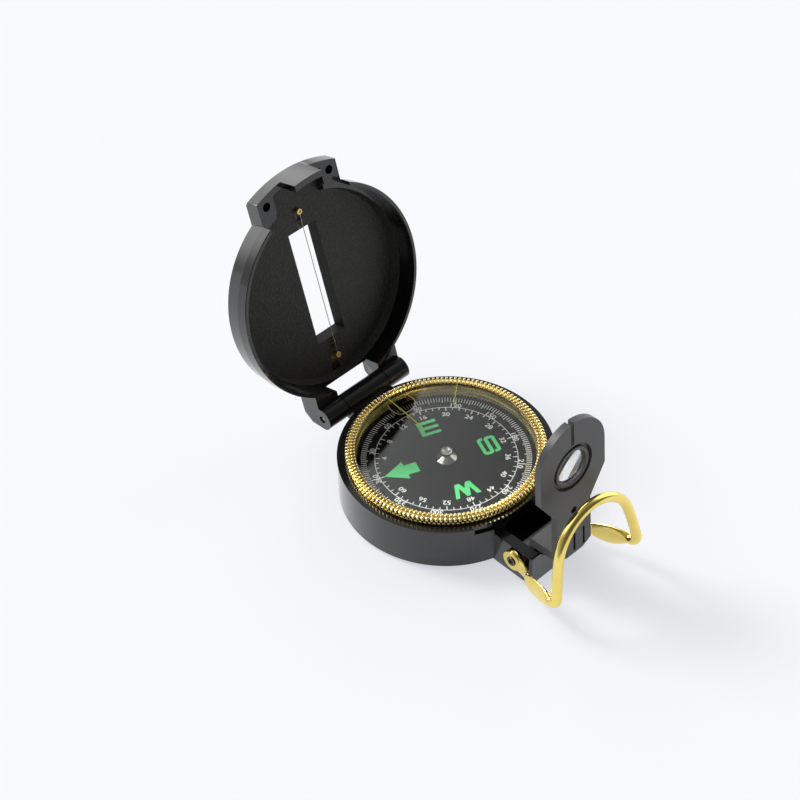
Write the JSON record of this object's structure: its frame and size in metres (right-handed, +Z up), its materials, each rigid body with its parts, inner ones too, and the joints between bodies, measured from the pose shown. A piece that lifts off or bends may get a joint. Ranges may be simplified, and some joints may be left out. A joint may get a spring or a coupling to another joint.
{
  "type": "lensatic compass",
  "caption": "Folding sighting compass: a round liquid-filled case with a turning bezel, a hinged cover with a sighting wire, a folding eyepiece with a lens and a wire thumb loop.",
  "frame": {"origin": "middle of the case's flat bottom, under the dial's pivot", "axes": "+Z up out of the dial, +Y from the eyepiece to the cover's hinge, +X along the hinge, to the right when looking along +Y"},
  "size_m": [0.058, 0.1126, 0.0775],
  "materials": {
    "case_plastic": "black moulding with a fine grain and semi-gloss rims",
    "capsule_black": "black satin",
    "eyepiece_black": "black satin, greyer than the case",
    "dial_black": "matt black card with white and green print",
    "magnet": "dark plain",
    "bright_steel": "polished",
    "steel": "bright, turned",
    "jewel": "polished red jewel",
    "gold": "polished gold plating",
    "brass": "plain turned",
    "gasket": "matt black",
    "crystal": "clear, polished"
  },
  "bodies": {
    "case": {"case_body": "case_plastic", "capsule_cup": "capsule_black", "capsule_fill_plug": "brass", "pivot_base": "brass", "pivot_needle": "steel", "capsule_ring": "gold", "capsule_gasket": "gasket", "capsule_crystal": "crystal", "bezel_snap_ring": "steel", "cover_hinge_pin": "steel", "bracket_axle": "steel"},
    "dial": {"dial_card": "dial_black", "dial_magnet": "magnet", "dial_hub": "bright_steel", "pivot_jewel": "jewel"},
    "bezel": {"bezel_ring": "gold", "bezel_crystal": "crystal"},
    "cover": {"cover": "case_plastic", "sighting_wire": "brass", "wire_pin_front": "brass", "wire_pin_rear": "brass"},
    "eyepiece": {"eyepiece_arm": "eyepiece_black", "eyepiece_lens": "crystal", "lens_retaining_ring": "eyepiece_black"},
    "thumb_loop": {"thumb_loop": "gold"}
  },
  "joints": [
    {"name": "cover_hinge", "type": "hinge", "parent": "case", "child": "cover", "pos_m": [0, 0.0318, 0.01324], "axis": [-1, 0, 0], "range_deg": [-105.95, 74.05]},
    {"name": "dial_spin", "type": "hinge", "parent": "case", "child": "dial", "pos_m": [0, 0, 0.012], "axis": [0, 0, 1], "continuous": true},
    {"name": "bezel_turn", "type": "hinge", "parent": "case", "child": "bezel", "pos_m": [0, 0, 0.0155], "axis": [0, 0, 1], "continuous": true},
    {"name": "eyepiece_hinge", "type": "hinge", "parent": "case", "child": "eyepiece", "pos_m": [0, -0.0341, 0.0064], "axis": [1, 0, 0], "range_deg": [-86.8, 0]},
    {"name": "thumb_loop_hinge", "type": "hinge", "parent": "case", "child": "thumb_loop", "pos_m": [0, -0.0341, 0.0064], "axis": [1, 0, 0], "range_deg": [-6, 95]}
  ]
}
